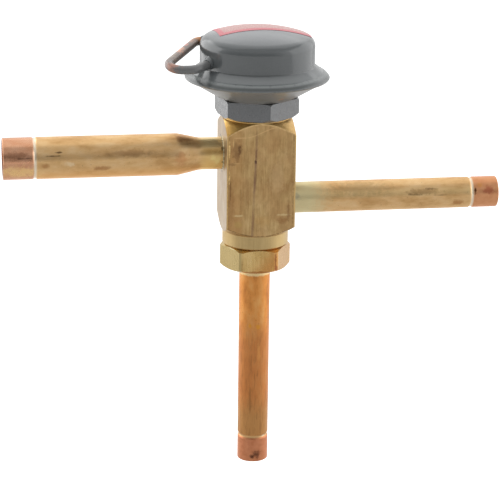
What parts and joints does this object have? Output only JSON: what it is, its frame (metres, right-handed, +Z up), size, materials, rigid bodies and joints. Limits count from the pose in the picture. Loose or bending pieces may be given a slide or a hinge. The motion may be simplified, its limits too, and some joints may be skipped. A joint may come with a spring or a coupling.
{
  "type": "head pressure control valve",
  "caption": "Refrigerant mixing valve with a domed pressure element on a square brass body and copper socket stubs; a sliding stem shares the flow between condenser and bypass.",
  "frame": {"origin": "centre of the bottom stub's mouth", "axes": "+Z up the valve axis towards the dome, +X along the receiver stub, -X along the bypass stub, -Y out of the body's front face"},
  "size_m": [0.2868, 0.0824, 0.2611],
  "materials": {
    "turned_brass": "machined, aged, with fine tool marks",
    "gasket_copper": "soft copper, dull",
    "element_seal": "dense fibre, matt black",
    "gray_enamel": "glossy warm gray enamel over steel",
    "painted_copper": "worn gray enamel over copper",
    "label_film": "thin film with a red border, no print",
    "stainless_sheet": "thin waved sheet",
    "stainless_rod": "ground",
    "spring_steel": "drawn wire and stamped strip",
    "seal_polymer": "smooth white fluoropolymer",
    "weathered_copper": "oxidised copper with brown and olive stains",
    "braze_alloy": "pale silver braze"
  },
  "bodies": {
    "valve": {"valve_body": "turned_brass", "upper_seat_ring": "turned_brass", "bottom_adapter": "turned_brass", "adapter_gasket": "gasket_copper", "element_gasket": "element_seal", "element_hex": "gray_enamel", "lower_cup": "gray_enamel", "upper_cup": "gray_enamel", "diaphragm": "stainless_sheet", "rim_weld": "gray_enamel", "charge_tube": "painted_copper", "charge_tube_braze": "gray_enamel", "label": "label_film", "rod_guide": "turned_brass", "guide_clip": "spring_steel", "return_spring": "spring_steel", "bypass_tube": "weathered_copper", "receiver_tube": "weathered_copper", "condenser_tube": "weathered_copper", "bypass_braze": "braze_alloy", "receiver_braze": "braze_alloy", "condenser_braze": "braze_alloy"},
    "stem": {"buffer_plate": "turned_brass", "push_rod": "stainless_rod", "poppet": "turned_brass", "lower_seal_ring": "seal_polymer", "upper_seal_ring": "seal_polymer", "retaining_washers": "turned_brass", "poppet_nut": "turned_brass"}
  },
  "joints": [
    {"name": "stem_slide", "type": "slide", "parent": "valve", "child": "stem", "axis": [0, 0, 1], "range_m": [0, 0.0032], "stiffness_N_per_m": 2200, "springref_m": -0.001, "deforming": ["return_spring", "diaphragm"]}
  ]
}
